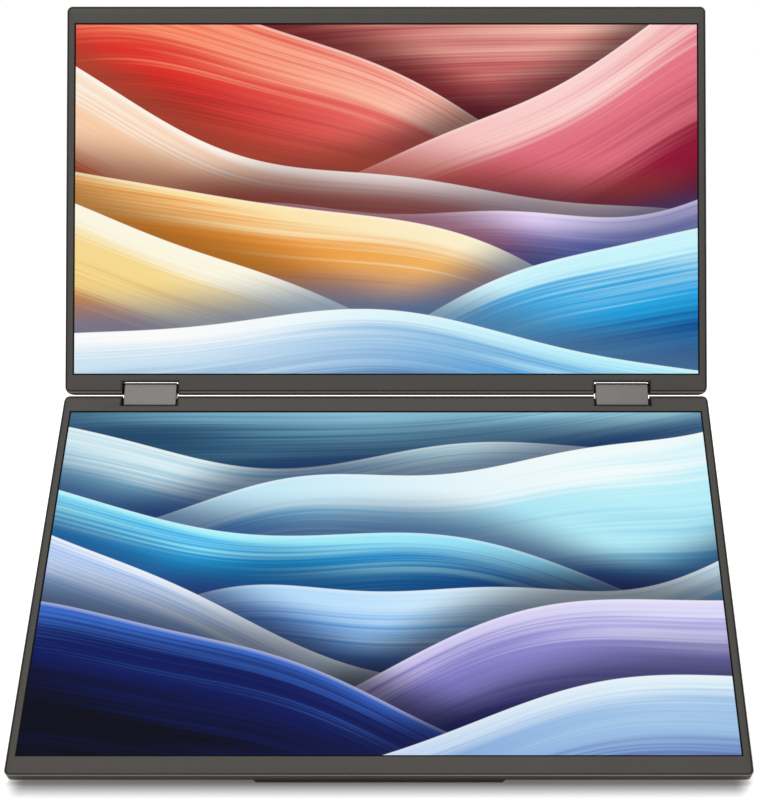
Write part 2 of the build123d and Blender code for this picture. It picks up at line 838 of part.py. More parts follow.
def make_stand_bracket(middle_x):
    """Steel bracket in the recess, with an eye for the stand's pin."""
    with BuildPart() as bracket:
        with BuildSketch(Plane.YZ.offset(middle_x - bracket_width / 2)):
            with Locations((stand_axis_y, stand_axis_z)):
                Circle(bracket_eye)
            with Locations((stand_axis_y, (stand_axis_z + recess_z) / 2)):
                Rectangle(2 * bracket_eye, recess_z - stand_axis_z)
            with Locations((stand_axis_y + bracket_eye - bracket_length / 2, recess_z - bracket_pad / 2)):
                Rectangle(bracket_length, bracket_pad)
            with Locations((stand_axis_y, stand_axis_z)):
                Circle(stand_pin_radius + run_gap, mode=Mode.SUBTRACT)
        extrude(amount=bracket_width)
        with BuildSketch(Plane.XY.offset(recess_z - bracket_pad)):
            with Locations((middle_x, bracket_screw_y)):
                RegularPolygon(bracket_screw_radius + screw_gap, boss_sides)
        extrude(amount=bracket_pad, mode=Mode.SUBTRACT)
    return bracket


def make_bracket_screws():
    """One screw for each stand bracket."""
    with BuildPart() as screws:
        with BuildSketch(Plane.XY.offset(recess_z - bracket_pad)):
            with Locations(*bracket_screw_spots):
                RegularPolygon(bracket_screw_head, boss_sides)
        extrude(amount=-screw_head)
        with BuildSketch(Plane.XY.offset(recess_z - bracket_pad)):
            with Locations(*bracket_screw_spots):
                RegularPolygon(bracket_screw_radius, boss_sides)
        extrude(amount=bracket_screw_reach)
    return screws


def make_stand_plate():
    """Stand plate with a round top edge on the pins' axis and notches for the brackets."""
    notch_length = bracket_length + stand_thick
    notch_y = (notch_length - stand_thick) / 2
    with BuildPart() as plate:
        with BuildSketch(Plane.YZ.offset(-stand_width / 2)):
            Circle(stand_thick / 2)
            with Locations((stand_plate_reach / 2, 0)):
                Rectangle(stand_plate_reach, stand_thick)
        extrude(amount=stand_width)
        long_edges = plate.edges().filter_by(Axis.Y).group_by(Axis.X)
        chamfer(long_edges[0] + long_edges[-1], stand_edge)
        with BuildSketch(Plane.XY.offset(-stand_thick)):
            with Locations((-bracket_x, notch_y), (bracket_x, notch_y)):
                Rectangle(bracket_width + 2 * stand_gap, notch_length + stand_thick)
        extrude(amount=2 * stand_thick, mode=Mode.SUBTRACT)
        with BuildSketch(Plane.YZ.offset(-stand_width / 2)):
            Circle(stand_pin_radius + screw_gap)
        extrude(amount=stand_width, mode=Mode.SUBTRACT)
    return plate


def make_stand_foot():
    """Rubber end of the stand, cut flat where it meets the desk."""
    sole_y = stand_axis.Z * sin(radians(stand_dip))
    sole_z = -stand_axis.Z * cos(radians(stand_dip))
    sole_plane = Plane((0, sole_y, sole_z), x_dir=(1, 0, 0), z_dir=(0, sole_y, sole_z))
    with BuildPart() as foot:
        with BuildSketch(Plane.YZ.offset(-stand_width / 2)):
            with Locations((stand_reach - stand_foot_depth / 2, 0)):
                Rectangle(stand_foot_depth, stand_thick)
        extrude(amount=stand_width)
        fillet(foot.edges().filter_by(Axis.Z).group_by(Axis.Y)[-1], stand_foot_corner)
        with BuildSketch(sole_plane):
            Rectangle(2 * stand_width, 2 * stand_reach)
        extrude(amount=stand_reach, mode=Mode.SUBTRACT)
    return foot


def make_stand_pin(middle_x):
    """Pin that the stand turns on in one of its brackets."""
    with BuildPart() as pin:
        with BuildSketch(Plane.YZ.offset(middle_x - stand_pin_length / 2)):
            Circle(stand_pin_radius)
        extrude(amount=stand_pin_length)
    return pin


os.makedirs("parts", exist_ok=True)

for side, half, plane in ((1, "upper", upper_plane), (-1, "lower", lower_plane)):
    write_piece(make_bezel(side), f"{half}_bezel", plane)
    write_piece(make_lcd_panel(side), f"{half}_lcd_panel", plane)
    write_piece(make_backlight(side), f"{half}_backlight", plane)
    write_piece(make_panel_tray(side), f"{half}_panel_tray", plane)
    write_piece(make_leaf_screws(side), f"{half}_leaf_screws", plane)
    for inward, hand in ((1, "left"), (-1, "right")):
        write_piece(make_shaft(inward), f"{half}_shaft_{hand}", plane)
        write_piece(make_leaf(side, inward), f"{half}_leaf_{hand}", plane)

for inward, hand in ((1, "left"), (-1, "right")):
    write_piece(make_hinge_housing(inward), f"hinge_housing_{hand}", block_plane)
    write_piece(make_end_cap(inward), f"hinge_end_cap_{hand}", block_plane)
    write_piece(make_friction_clips(inward), f"friction_clips_{hand}", block_plane)
    write_piece(make_stand_bracket(-inward * bracket_x), f"stand_bracket_{hand}", lower_plane)
    write_piece(make_stand_pin(-inward * bracket_x), f"stand_pin_{hand}", stand_plane)

write_piece(make_rear_cover(1), "upper_rear_cover", upper_plane)
write_piece(make_timing_board(), "timing_board", upper_plane)
write_piece(make_lower_rear_cover(), "lower_rear_cover", lower_plane)
write_piece(make_main_board(), "main_board", lower_plane)
write_piece(make_button_board(), "button_board", lower_plane)
write_piece(make_front_foot(), "front_foot", lower_plane)
write_piece(make_back_pads(), "back_pads", lower_plane)
write_piece(make_bracket_screws(), "bracket_screws", lower_plane)
for name, sizes in ports.items():
    write_piece(make_port(*sizes), name, lower_plane)
for name, drop in buttons.items():
    write_piece(make_button(drop), name, lower_plane)
for name, spot in speaker_spots.items():
    write_piece(make_speaker(spot), name, lower_plane)
write_piece(make_stand_plate(), "stand_plate", stand_plane)
write_piece(make_stand_foot(), "stand_foot", stand_plane)
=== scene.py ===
import bmesh
import bpy
import json
from math import copysign, pi, radians
from mathutils import Matrix, Vector


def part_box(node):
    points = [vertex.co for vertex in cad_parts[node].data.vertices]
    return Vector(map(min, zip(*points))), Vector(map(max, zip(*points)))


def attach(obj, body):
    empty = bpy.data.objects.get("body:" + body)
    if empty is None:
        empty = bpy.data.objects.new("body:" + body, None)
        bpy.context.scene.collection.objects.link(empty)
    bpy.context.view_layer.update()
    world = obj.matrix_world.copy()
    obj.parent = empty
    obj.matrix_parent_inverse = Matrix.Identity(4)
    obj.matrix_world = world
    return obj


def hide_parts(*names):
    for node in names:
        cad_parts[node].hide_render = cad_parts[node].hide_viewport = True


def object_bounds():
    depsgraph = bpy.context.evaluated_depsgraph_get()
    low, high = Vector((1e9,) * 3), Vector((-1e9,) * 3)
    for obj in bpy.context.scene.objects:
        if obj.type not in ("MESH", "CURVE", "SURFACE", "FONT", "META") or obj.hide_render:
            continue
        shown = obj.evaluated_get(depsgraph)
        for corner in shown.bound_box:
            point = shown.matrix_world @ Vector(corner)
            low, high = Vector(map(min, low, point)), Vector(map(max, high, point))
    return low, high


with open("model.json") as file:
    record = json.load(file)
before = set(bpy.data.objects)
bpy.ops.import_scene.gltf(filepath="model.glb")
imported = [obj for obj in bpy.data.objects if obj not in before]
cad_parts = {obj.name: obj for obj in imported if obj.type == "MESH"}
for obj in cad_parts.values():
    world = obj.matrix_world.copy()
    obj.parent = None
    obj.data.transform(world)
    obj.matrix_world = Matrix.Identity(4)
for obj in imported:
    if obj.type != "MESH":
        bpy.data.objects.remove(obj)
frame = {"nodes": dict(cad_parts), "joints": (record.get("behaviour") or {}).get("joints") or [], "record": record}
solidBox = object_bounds()  # the CAD box, before anything is dressed
record = frame["record"]
bodyOfNode = {node: body for body, nodes in record["behaviour"]["bodies"].items() for node in nodes}
slotOfNode = {part["node"]: part["material_slot"] for part in record["subparts"]}
jointPlace = {joint["name"]: Vector(joint["pos_m"]) for joint in frame["joints"] if "pos_m" in joint}
print("frame loaded:", len(frame["nodes"]), "nodes")

# each half is drawn about its hinge axis: x along the hinge, y up the screen, z out of it
half = {
    "lower": {"tilt": 46, "axis": "hinge_lower", "litLow": -0.20184},
    "upper": {"tilt": 78, "axis": "hinge_upper", "litLow": 0.00825},
}
lit = {"width": 0.34416, "height": 0.19359, "depth": 0.0036}


def halfFrame(name):
    turn = Matrix.Rotation(radians(half[name]["tilt"]), 4, "X")
    return Matrix.Translation(jointPlace[half[name]["axis"]]) @ turn


# node helpers

def toLinear(red, green, blue):  # a colour as a picture editor gives it, 0 to 255
    channels = []
    for level in (red, green, blue):
        share = level / 255
        channels.append(share / 12.92 if share <= 0.04045 else ((share + 0.055) / 1.055) ** 2.4)
    return (*channels, 1)


def newFinish(name):
    finish = bpy.data.materials.new(name)
    finish.use_nodes = True
    tree = finish.node_tree
    shader = tree.nodes["Principled BSDF"]
    coords = tree.nodes.new("ShaderNodeTexCoord").outputs["Object"]
    return finish, tree, shader, coords


def feed(tree, socket, value):
    if isinstance(value, bpy.types.NodeSocket):
        tree.links.new(value, socket)
    else:
        socket.default_value = value


def sums(tree, operation, *values):
    node = tree.nodes.new("ShaderNodeMath")
    node.operation = operation
    for socket, value in zip(node.inputs, values):
        feed(tree, socket, value)
    return node.outputs[0]


def spread(tree, value, fromLow, fromHigh, toLow, toHigh, curve="LINEAR"):
    node = tree.nodes.new("ShaderNodeMapRange")
    node.interpolation_type = curve
    for name, amount in (("Value", value), ("From Min", fromLow), ("From Max", fromHigh),
                         ("To Min", toLow), ("To Max", toHigh)):
        feed(tree, node.inputs[name], amount)
    return node.outputs[0]


def blendColour(tree, factor, first, second):
    node = tree.nodes.new("ShaderNodeMix")
    node.data_type = "RGBA"
    feed(tree, node.inputs[0], factor)
    feed(tree, node.inputs[6], first)
    feed(tree, node.inputs[7], second)
    return node.outputs[2]


def noise(tree, coords, scale, detail):
    node = tree.nodes.new("ShaderNodeTexNoise")
    node.inputs["Scale"].default_value = scale
    node.inputs["Detail"].default_value = detail
    tree.links.new(coords, node.inputs["Vector"])
    return node.outputs["Fac"]


def stretched(tree, coords, scale):
    node = tree.nodes.new("ShaderNodeMapping")
    node.inputs["Scale"].default_value = scale
    tree.links.new(coords, node.inputs["Vector"])
    return node.outputs[0]


def relief(tree, shader, height, strength, distance):
    node = tree.nodes.new("ShaderNodeBump")
    node.inputs["Strength"].default_value = strength
    node.inputs["Distance"].default_value = distance
    tree.links.new(height, node.inputs["Height"])
    tree.links.new(node.outputs[0], shader.inputs["Normal"])


# finishes

# a noise crowds round its middle, so only part of its range is spread out
noiseLook = {"patchDetail": 4, "fineDetail": 3, "plainDetail": 2, "patchSpan": (0.35, 0.65),
             "strokeSpan": (0.32, 0.68), "roughSpan": (0.3, 0.7), "middle": 0.5, "strokeShare": 0.75}


def grainedFinish(name, look):
    finish, tree, shader, coords = newFinish(name)
    patches = noise(tree, coords, look["patchScale"], noiseLook["patchDetail"])
    grain = noise(tree, coords, look["grainScale"], noiseLook["fineDetail"])
    mottle = sums(tree, "MULTIPLY", patches, 1 - look["grainShare"])
    mottle = sums(tree, "MULTIPLY_ADD", grain, look["grainShare"], mottle)
    tone = spread(tree, mottle, *noiseLook["patchSpan"], 0, 1)
    colour = blendColour(tree, tone, toLinear(*look["dark"]), toLinear(*look["light"]))
    tree.links.new(colour, shader.inputs["Base Color"])
    rough = spread(tree, grain, *noiseLook["roughSpan"], *look["roughness"])
    tree.links.new(rough, shader.inputs["Roughness"])
    shader.inputs["Metallic"].default_value = look.get("metallic", 0)
    shader.inputs["Specular IOR Level"].default_value = look["gloss"]
    relief(tree, shader, grain, look["bump"], look["bumpDepth"])
    return finish


def brushedFinish(name, look):
    finish, tree, shader, coords = newFinish(name)
    strokes = noise(tree, stretched(tree, coords, look["strokes"]), 1, noiseLook["fineDetail"])
    patches = noise(tree, coords, look["patchScale"], noiseLook["fineDetail"])
    mottle = sums(tree, "MULTIPLY", patches, 1 - noiseLook["strokeShare"])
    mottle = sums(tree, "MULTIPLY_ADD", strokes, noiseLook["strokeShare"], mottle)
    tone = spread(tree, mottle, *noiseLook["strokeSpan"], 0, 1)
    colour = blendColour(tree, tone, toLinear(*look["dark"]), toLinear(*look["light"]))
    tree.links.new(colour, shader.inputs["Base Color"])
    rough = spread(tree, strokes, *noiseLook["roughSpan"], *look["roughness"])
    tree.links.new(rough, shader.inputs["Roughness"])
    shader.inputs["Metallic"].default_value = look["metallic"]
    relief(tree, shader, strokes, look["bump"], look["bumpDepth"])
    return finish


caseLook = {"dark": (60, 58, 54), "light": (72, 69, 64), "patchScale": 26, "grainScale": 3200,
            "grainShare": 0.82, "roughness": (0.46, 0.6), "gloss": 0.24, "bump": 0.3, "bumpDepth": 0.00004}
bezelLook = {"dark": (59, 56, 52), "light": (68, 65, 61), "patchScale": 22, "grainScale": 3800,
             "grainShare": 0.82, "roughness": (0.5, 0.62), "gloss": 0.22, "bump": 0.2, "bumpDepth": 0.00003}
# painted highlight: a lighter colour for the cover lip faces that are slanted towards the light
lipHighlightLook = {"dark": (106, 104, 99), "light": (118, 116, 111), "patchScale": 60, "grainScale": 3600,
           "grainShare": 0.82, "roughness": (0.4, 0.52), "gloss": 0.3, "bump": 0.2, "bumpDepth": 0.00003}
# painted shade: a near-black colour for the hinge notches, the bezel window edges and the hinge washers
paintedShadeLook = {"dark": (13, 13, 13), "light": (21, 21, 21), "patchScale": 120, "grainScale": 3000,
             "grainShare": 0.5, "roughness": (0.55, 0.7), "gloss": 0.15, "bump": 0.2, "bumpDepth": 0.00004}
rubberLook = {"dark": (45, 44, 42), "light": (58, 57, 55), "patchScale": 90, "grainScale": 2400,
              "grainShare": 0.8, "roughness": (0.7, 0.85), "gloss": 0.2, "bump": 0.4, "bumpDepth": 0.00006}
buttonLook = {"dark": (46, 44, 42), "light": (57, 55, 52), "patchScale": 150, "grainScale": 4200,
              "grainShare": 0.4, "roughness": (0.36, 0.48), "gloss": 0.35, "bump": 0.15, "bumpDepth": 0.00003}
speakerLook = {"dark": (16, 16, 17), "light": (27, 27, 28), "patchScale": 200, "grainScale": 3000,
               "grainShare": 0.5, "roughness": (0.5, 0.65), "gloss": 0.3, "bump": 0.3, "bumpDepth": 0.00004}
boardLook = {"dark": (14, 62, 36), "light": (28, 92, 56), "patchScale": 160, "grainScale": 1500,
             "grainShare": 0.6, "roughness": (0.35, 0.55), "gloss": 0.5, "bump": 0.25, "bumpDepth": 0.00005}
filmLook = {"dark": (222, 226, 230), "light": (240, 242, 245), "patchScale": 25, "grainScale": 1800,
            "grainShare": 0.3, "roughness": (0.3, 0.45), "gloss": 0.5, "bump": 0.1, "bumpDepth": 0.00002}
hingeLook = {"dark": (95, 92, 90), "light": (103, 100, 98), "patchScale": 420, "grainScale": 3000,
             "grainShare": 0.82, "roughness": (0.4, 0.48), "gloss": 0.4, "metallic": 0.8,
             "bump": 0.12, "bumpDepth": 0.00003}
standLook = {"dark": (66, 64, 62), "light": (84, 82, 79), "strokes": (40, 2200, 2200),
             "patchScale": 40, "roughness": (0.38, 0.52), "metallic": 0.6, "bump": 0.15, "bumpDepth": 0.00003}
steelLook = {"dark": (150, 150, 151), "light": (186, 186, 187), "strokes": (60, 3000, 3000),
             "patchScale": 200, "roughness": (0.25, 0.4), "metallic": 1, "bump": 0.15, "bumpDepth": 0.00002}
springLook = {"dark": (120, 120, 126), "light": (158, 158, 163), "strokes": (2500, 80, 80),
              "patchScale": 260, "roughness": (0.3, 0.42), "metallic": 1, "bump": 0.15, "bumpDepth": 0.00002}
trayLook = {"dark": (176, 176, 180), "light": (204, 204, 207), "strokes": (30, 900, 900),
            "patchScale": 30, "roughness": (0.35, 0.5), "metallic": 0.9, "bump": 0.1, "bumpDepth": 0.00002}
socketLook = {"dark": (158, 158, 160), "light": (196, 196, 198), "strokes": (900, 900, 900),
              "patchScale": 400, "roughness": (0.25, 0.4), "metallic": 1, "bump": 0.1, "bumpDepth": 0.00002}

finishOfSlot = {
    "case_shell": grainedFinish("caseShell", caseLook),
    "bezel_plastic": grainedFinish("bezelPlastic", bezelLook),
    "foot_rubber": grainedFinish("footRubber", rubberLook),
    "button_plastic": grainedFinish("buttonPlastic", buttonLook),
    "speaker_plastic": grainedFinish("speakerPlastic", speakerLook),
    "board_laminate": grainedFinish("boardLaminate", boardLook),
    "backlight_film": grainedFinish("backlightFilm", filmLook),
    "hinge_shell": grainedFinish("hingeShell", hingeLook),
    "stand_metal": brushedFinish("standMetal", standLook),
    "hinge_steel": brushedFinish("hingeSteel", steelLook),
    "spring_steel": brushedFinish("springSteel", springLook),
    "tray_sheet": brushedFinish("traySheet", trayLook),
    "socket_steel": brushedFinish("socketSteel", socketLook),
}
lipHighlightFinish = grainedFinish("casePaintedHighlight", lipHighlightLook)
paintedShadeFinish = grainedFinish("paintedShadeBlack", paintedShadeLook)
print("finishes made:", len(finishOfSlot) + 2)


# the lit pictures: silky dunes, one behind the other, each with fine strands along its crest

strandLook = {"length": 1.3, "fine": 130, "coarse": 12, "fineShare": 0.5, "coarseShare": 0.9, "bodyStop": 0.4,
              "rim": 0.4, "rimReach": 0.012, "rimColour": (255, 252, 248), "shade": 0.78, "shadeReach": 0.15,
              "shadeShare": 0.5, "soft": 0.0012, "sideBlend": (0.1, 0.9), "duneShift": 11, "coarseShift": 7}
panelLook = {"glow": 0.96, "glass": (5, 5, 6), "grainScale": 5200, "roughness": (0.42, 0.55), "gloss": 0.03}
black = (0, 0, 0, 1)
upperPicture = [
    {"crest": (1.45, 0.02), "waves": ((0.05, 0.6, 0.5),), "span": 0.75, "fan": 0.5,
     "left": ((255, 170, 150), (206, 34, 36), (96, 4, 26)),
     "right": ((255, 240, 226), (252, 202, 184), (206, 92, 96))},
    {"crest": (1.06, -0.5), "waves": ((0.11, 0.72, 0.4), (0.02, 1.9, 1.1)), "span": 0.5, "fan": 0.9,
     "left": ((255, 150, 112), (224, 46, 36), (112, 6, 22)),
     "right": ((255, 226, 210), (240, 144, 136), (168, 36, 58))},
    {"crest": (0.44, 0.56), "waves": ((0.12, 0.70, 2.6), (0.02, 2.1, 0.3)), "span": 0.5, "fan": -0.4,
     "left": ((236, 116, 124), (170, 22, 54), (78, 2, 32)),
     "right": ((255, 218, 214), (232, 118, 134), (146, 16, 52))},
    {"crest": (0.90, -0.56), "waves": ((0.11, 0.66, 3.5), (0.02, 1.8, 2.0)), "span": 0.42, "fan": 0.8,
     "left": ((255, 248, 236), (252, 208, 172), (218, 94, 66)),
     "right": ((255, 232, 238), (234, 154, 178), (140, 44, 98))},
    {"crest": (0.26, 0.36), "waves": ((0.12, 0.66, 0.8), (0.016, 2.3, 4.0)), "span": 0.4, "fan": -0.3,
     "left": ((206, 150, 200), (124, 54, 138), (56, 12, 74)),
     "right": ((228, 216, 252), (146, 122, 212), (58, 40, 126))},
    {"crest": (0.66, -0.6), "waves": ((0.10, 0.78, 5.0), (0.018, 1.6, 0.8)), "span": 0.38, "fan": 0.7,
     "left": ((255, 228, 164), (240, 144, 40), (158, 44, 8)),
     "right": ((255, 248, 220), (246, 198, 112), (188, 96, 26))},
    {"crest": (0.40, -0.38), "waves": ((0.09, 0.70, 1.9), (0.016, 2.0, 3.1)), "span": 0.34, "fan": 0.5,
     "left": ((255, 250, 228), (250, 220, 144), (204, 126, 40)),
     "right": ((244, 252, 255), (188, 214, 238), (104, 136, 190))},
    {"crest": (-0.06, 0.40), "waves": ((0.09, 0.80, 3.4), (0.014, 2.2, 5.0)), "span": 0.34, "fan": -0.3,
     "left": ((238, 250, 255), (138, 204, 242), (18, 94, 170)),
     "right": ((204, 248, 255), (34, 166, 228), (2, 66, 138))},
    {"crest": (0.15, -0.1), "waves": ((0.07, 0.74, 5.6), (0.012, 1.8, 2.2)), "span": 0.26, "fan": 0.4,
     "left": ((255, 255, 255), (206, 230, 246), (100, 154, 206)),
     "right": ((186, 242, 255), (28, 148, 214), (4, 58, 122))},
]
lowerPicture = [
    {"crest": (1.4, 0.05), "waves": ((0.05, 0.7, 2.0),), "span": 0.7, "fan": 0.4,
     "left": ((216, 236, 242), (112, 166, 194), (34, 78, 112)),
     "right": ((240, 255, 255), (176, 232, 246), (64, 140, 184))},
    {"crest": (0.98, -0.2), "waves": ((0.09, 0.76, 3.6), (0.018, 1.9, 0.7)), "span": 0.4, "fan": 0.6,
     "left": ((222, 242, 248), (128, 188, 214), (36, 94, 140)),
     "right": ((230, 252, 255), (168, 226, 246), (64, 146, 198))},
    {"crest": (0.48, 0.58), "waves": ((0.11, 0.62, 0.9), (0.018, 2.2, 2.9)), "span": 0.52, "fan": -0.4,
     "left": ((186, 232, 250), (64, 156, 214), (8, 58, 128)),
     "right": ((248, 255, 255), (188, 242, 252), (84, 176, 222))},
    {"crest": (0.84, -0.56), "waves": ((0.11, 0.68, 4.6), (0.018, 1.7, 1.4)), "span": 0.42, "fan": 0.8,
     "left": ((168, 246, 255), (4, 170, 234), (0, 54, 144)),
     "right": ((146, 222, 248), (18, 116, 190), (2, 32, 94))},
    {"crest": (0.20, 0.44), "waves": ((0.12, 0.74, 0.5), (0.016, 2.4, 3.8)), "span": 0.42, "fan": -0.3,
     "left": ((164, 214, 255), (38, 124, 220), (4, 36, 126)),
     "right": ((228, 248, 255), (124, 198, 246), (34, 106, 190))},
    {"crest": (0.58, -0.5), "waves": ((0.10, 0.66, 2.7), (0.016, 2.0, 5.2)), "span": 0.38, "fan": 0.7,
     "left": ((230, 240, 255), (148, 184, 238), (42, 72, 160)),
     "right": ((186, 220, 255), (74, 138, 222), (10, 40, 118))},
    {"crest": (-0.02, 0.42), "waves": ((0.10, 0.80, 4.1), (0.014, 1.8, 0.1)), "span": 0.36, "fan": -0.3,
     "left": ((178, 160, 228), (88, 72, 166), (26, 14, 72)),
     "right": ((226, 222, 252), (148, 144, 214), (60, 50, 128))},
    {"crest": (0.33, -0.36), "waves": ((0.09, 0.72, 1.0), (0.014, 2.1, 2.5)), "span": 0.28, "fan": 0.5,
     "left": ((56, 108, 204), (6, 22, 92), (1, 2, 22)),
     "right": ((46, 78, 172), (12, 18, 82), (2, 2, 26))},
    {"crest": (-0.14, 0.32), "waves": ((0.06, 0.88, 3.3), (0.012, 1.9, 4.4)), "span": 0.26, "fan": -0.2,
     "left": ((146, 178, 232), (64, 96, 190), (16, 26, 98)),
     "right": ((228, 244, 253), (158, 196, 234), (80, 100, 174))},
]


def strands(tree, across, depth, shift, scale):
    place = tree.nodes.new("ShaderNodeCombineXYZ")
    feed(tree, place.inputs[0], sums(tree, "MULTIPLY_ADD", across, strandLook["length"], shift))
    feed(tree, place.inputs[1], sums(tree, "MULTIPLY", depth, scale))
    strand = noise(tree, place.outputs[0], 1, noiseLook["plainDetail"])
    return sums(tree, "SUBTRACT", strand, noiseLook["middle"])


def colourStops(tree, factor, stops):
    node = tree.nodes.new("ShaderNodeValToRGB")
    tree.links.new(factor, node.inputs[0])
    ramp = node.color_ramp
    ramp.interpolation = "EASE"
    for place, _ in stops[1:-1]:
        ramp.elements.new(place)
    for element, (place, colour) in zip(ramp.elements, stops):
        element.position = place
        element.color = toLinear(*colour)
    return node.outputs[0]


def duneLayer(tree, across, up, behind, dune, shift):
    base, slope = dune["crest"]
    crest = sums(tree, "MULTIPLY_ADD", across, slope, base)
    for height, count, start in dune["waves"]:
        wave = sums(tree, "SINE", sums(tree, "MULTIPLY_ADD", across, 2 * pi * count, start))
        crest = sums(tree, "MULTIPLY_ADD", wave, height, crest)
    depth = sums(tree, "SUBTRACT", crest, up)
    fanned = sums(tree, "MULTIPLY", depth, sums(tree, "MULTIPLY_ADD", across, dune["fan"], 1))
    fine = strands(tree, across, fanned, shift, strandLook["fine"])
    coarse = strands(tree, across, fanned, shift + strandLook["coarseShift"], strandLook["coarse"])
    tone = spread(tree, depth, 0, dune["span"], 0, 1)
    tone = sums(tree, "MULTIPLY_ADD", fine, strandLook["fineShare"], tone)
    tone = sums(tree, "MULTIPLY_ADD", coarse, strandLook["coarseShare"], tone)
    places = (0, strandLook["bodyStop"], 1)
    left, right = (colourStops(tree, tone, list(zip(places, dune[side]))) for side in ("left", "right"))
    side = spread(tree, across, *strandLook["sideBlend"], 0, 1, "SMOOTHSTEP")
    colour = blendColour(tree, side, left, right)
    rim = spread(tree, depth, 0, strandLook["rimReach"], strandLook["rim"], 0)
    colour = blendColour(tree, rim, colour, toLinear(*strandLook["rimColour"]))
    dark = tuple(level * strandLook["shadeShare"] for level in toLinear(*dune["left"][2])[:3])
    shadow = spread(tree, depth, -strandLook["shadeReach"], 0, 0, strandLook["shade"], "SMOOTHSTEP")
    shaded = blendColour(tree, shadow, behind, (*dark, 1))
    edge = spread(tree, depth, -strandLook["soft"], strandLook["soft"], 0, 1)
    return blendColour(tree, edge, shaded, colour)


def screenFinish(name, picture):
    finish, tree, shader, coords = newFinish(name + "Screen")
    corner = halfFrame(name) @ Vector((-lit["width"] / 2, half[name]["litLow"], lit["depth"]))
    place = tree.nodes.new("ShaderNodeMapping")
    place.vector_type = "TEXTURE"  # takes the corner and the tilt off, so the lit area runs from 0 to 1
    place.inputs["Location"].default_value = corner
    place.inputs["Rotation"].default_value = (radians(half[name]["tilt"]), 0, 0)
    place.inputs["Scale"].default_value = (lit["width"], lit["height"], 1)
    tree.links.new(coords, place.inputs["Vector"])
    split = tree.nodes.new("ShaderNodeSeparateXYZ")
    tree.links.new(place.outputs[0], split.inputs[0])
    across, up = split.outputs[0], split.outputs[1]
    colour = black
    for count, dune in enumerate(picture):
        colour = duneLayer(tree, across, up, colour, dune, count * strandLook["duneShift"])
    inside = [sums(tree, "COMPARE", value, 0.5, 0.5) for value in (across, up)]  # within 0.5 of the middle
    shown = blendColour(tree, sums(tree, "MULTIPLY", *inside), black, colour)
    tree.links.new(shown, shader.inputs["Emission Color"])
    shader.inputs["Emission Strength"].default_value = panelLook["glow"]
    shader.inputs["Base Color"].default_value = toLinear(*panelLook["glass"])
    grain = noise(tree, coords, panelLook["grainScale"], noiseLook["plainDetail"])
    matt = spread(tree, grain, *noiseLook["roughSpan"], *panelLook["roughness"])
    tree.links.new(matt, shader.inputs["Roughness"])
    shader.inputs["Specular IOR Level"].default_value = panelLook["gloss"]
    return finish


screenOf = {
    "upper_lcd_panel": screenFinish("upper", upperPicture),
    "lower_lcd_panel": screenFinish("lower", lowerPicture),
}
for nodeName, piece in frame["nodes"].items():
    piece.data.materials.clear()
    piece.data.materials.append(screenOf.get(nodeName) or finishOfSlot[slotOfNode[nodeName]])
print("screens and solids dressed")


# round-edged solids get a welded copy with smooth shading

smoothed = {
    "nodes": ["upper_rear_cover", "lower_rear_cover", "upper_bezel", "lower_bezel", "hinge_housing_left",
              "hinge_housing_right", "usb_c_port_1", "usb_c_port_2", "mini_hdmi_port", "stand_plate",
              "stand_foot", "stand_bracket_left", "stand_bracket_right", "stand_pin_left", "stand_pin_right",
              "upper_shaft_left", "upper_shaft_right", "lower_shaft_left", "lower_shaft_right"],
    "weld": 0.000001,
    "crease": 32,
}


def addPiece(name, mesh, body, finish):
    piece = bpy.data.objects.new(name, mesh)
    bpy.context.scene.collection.objects.link(piece)
    mesh.materials.clear()
    mesh.materials.append(finish)
    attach(piece, body)
    return piece


# the lip along each cover's lower edge gets a painted highlight, a lighter colour, and the hinge notches are
# painted black as painted shade
edgeLook = {"covers": ["upper_rear_cover", "lower_rear_cover"], "lipNear": 0.0018, "lipDepth": 0.00095,
            "lipSlant": {"lower": (0.69, 0.72), "upper": (0.8, 0.88)}, "notchReach": 0.01572,
            "notchDepth": 0.0043, "bezels": ["upper_bezel", "lower_bezel"], "windowNear": 0.0011,
            "windowTilt": 0.9, "near": 0.00005}
plateTrim = {"reach": 0.01665, "depth": 0.0052, "inward": 0.00048, "towards": 0.00048}
notchTrim = {"reach": 0.01535, "depth": 0.0039, "inward": 0, "towards": 0.0003}


def blockMiddle():  # the right block's, and the left one mirrors it
    low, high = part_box("hinge_housing_right")
    return (low.x + high.x) / 2


def cutNotchRims(form, name):  # cuts each rim where its painted black shade ends
    place = halfFrame(name)
    hingeX = blockMiddle()
    across = [side * hingeX + end * edgeLook["notchReach"] for side in (-1, 1) for end in (-1, 1)]
    depth = copysign(edgeLook["notchDepth"], half[name]["litLow"])
    planes = [((x, 0, 0), (1, 0, 0)) for x in across] + [((0, depth, 0), (0, 1, 0))]
    for point, normal in planes:
        cut = form.verts[:] + form.edges[:] + form.faces[:]
        bmesh.ops.bisect_plane(form, geom=cut, dist=smoothed["weld"], plane_co=place @ Vector(point),
                               plane_no=place.to_3x3() @ Vector(normal))


def trimNotch(form, name, trim):  # brings a notch's sides and end nearer to the hinge block
    place = halfFrame(name)
    toHalf = place.inverted()
    hingeX = blockMiddle()
    reach, depth, near = trim["reach"], trim["depth"], edgeLook["near"]
    for vertex in form.verts:
        spot = toHalf @ vertex.co
        away = abs(spot.x) - hingeX
        if abs(spot.y) > depth + near or abs(away) > reach + near:
            continue
        if abs(abs(spot.y) - depth) < near:
            spot.y -= copysign(trim["towards"], spot.y)
        if abs(abs(away) - reach) < near:
            spot.x -= copysign(trim["inward"], away * spot.x)
        vertex.co = place @ spot


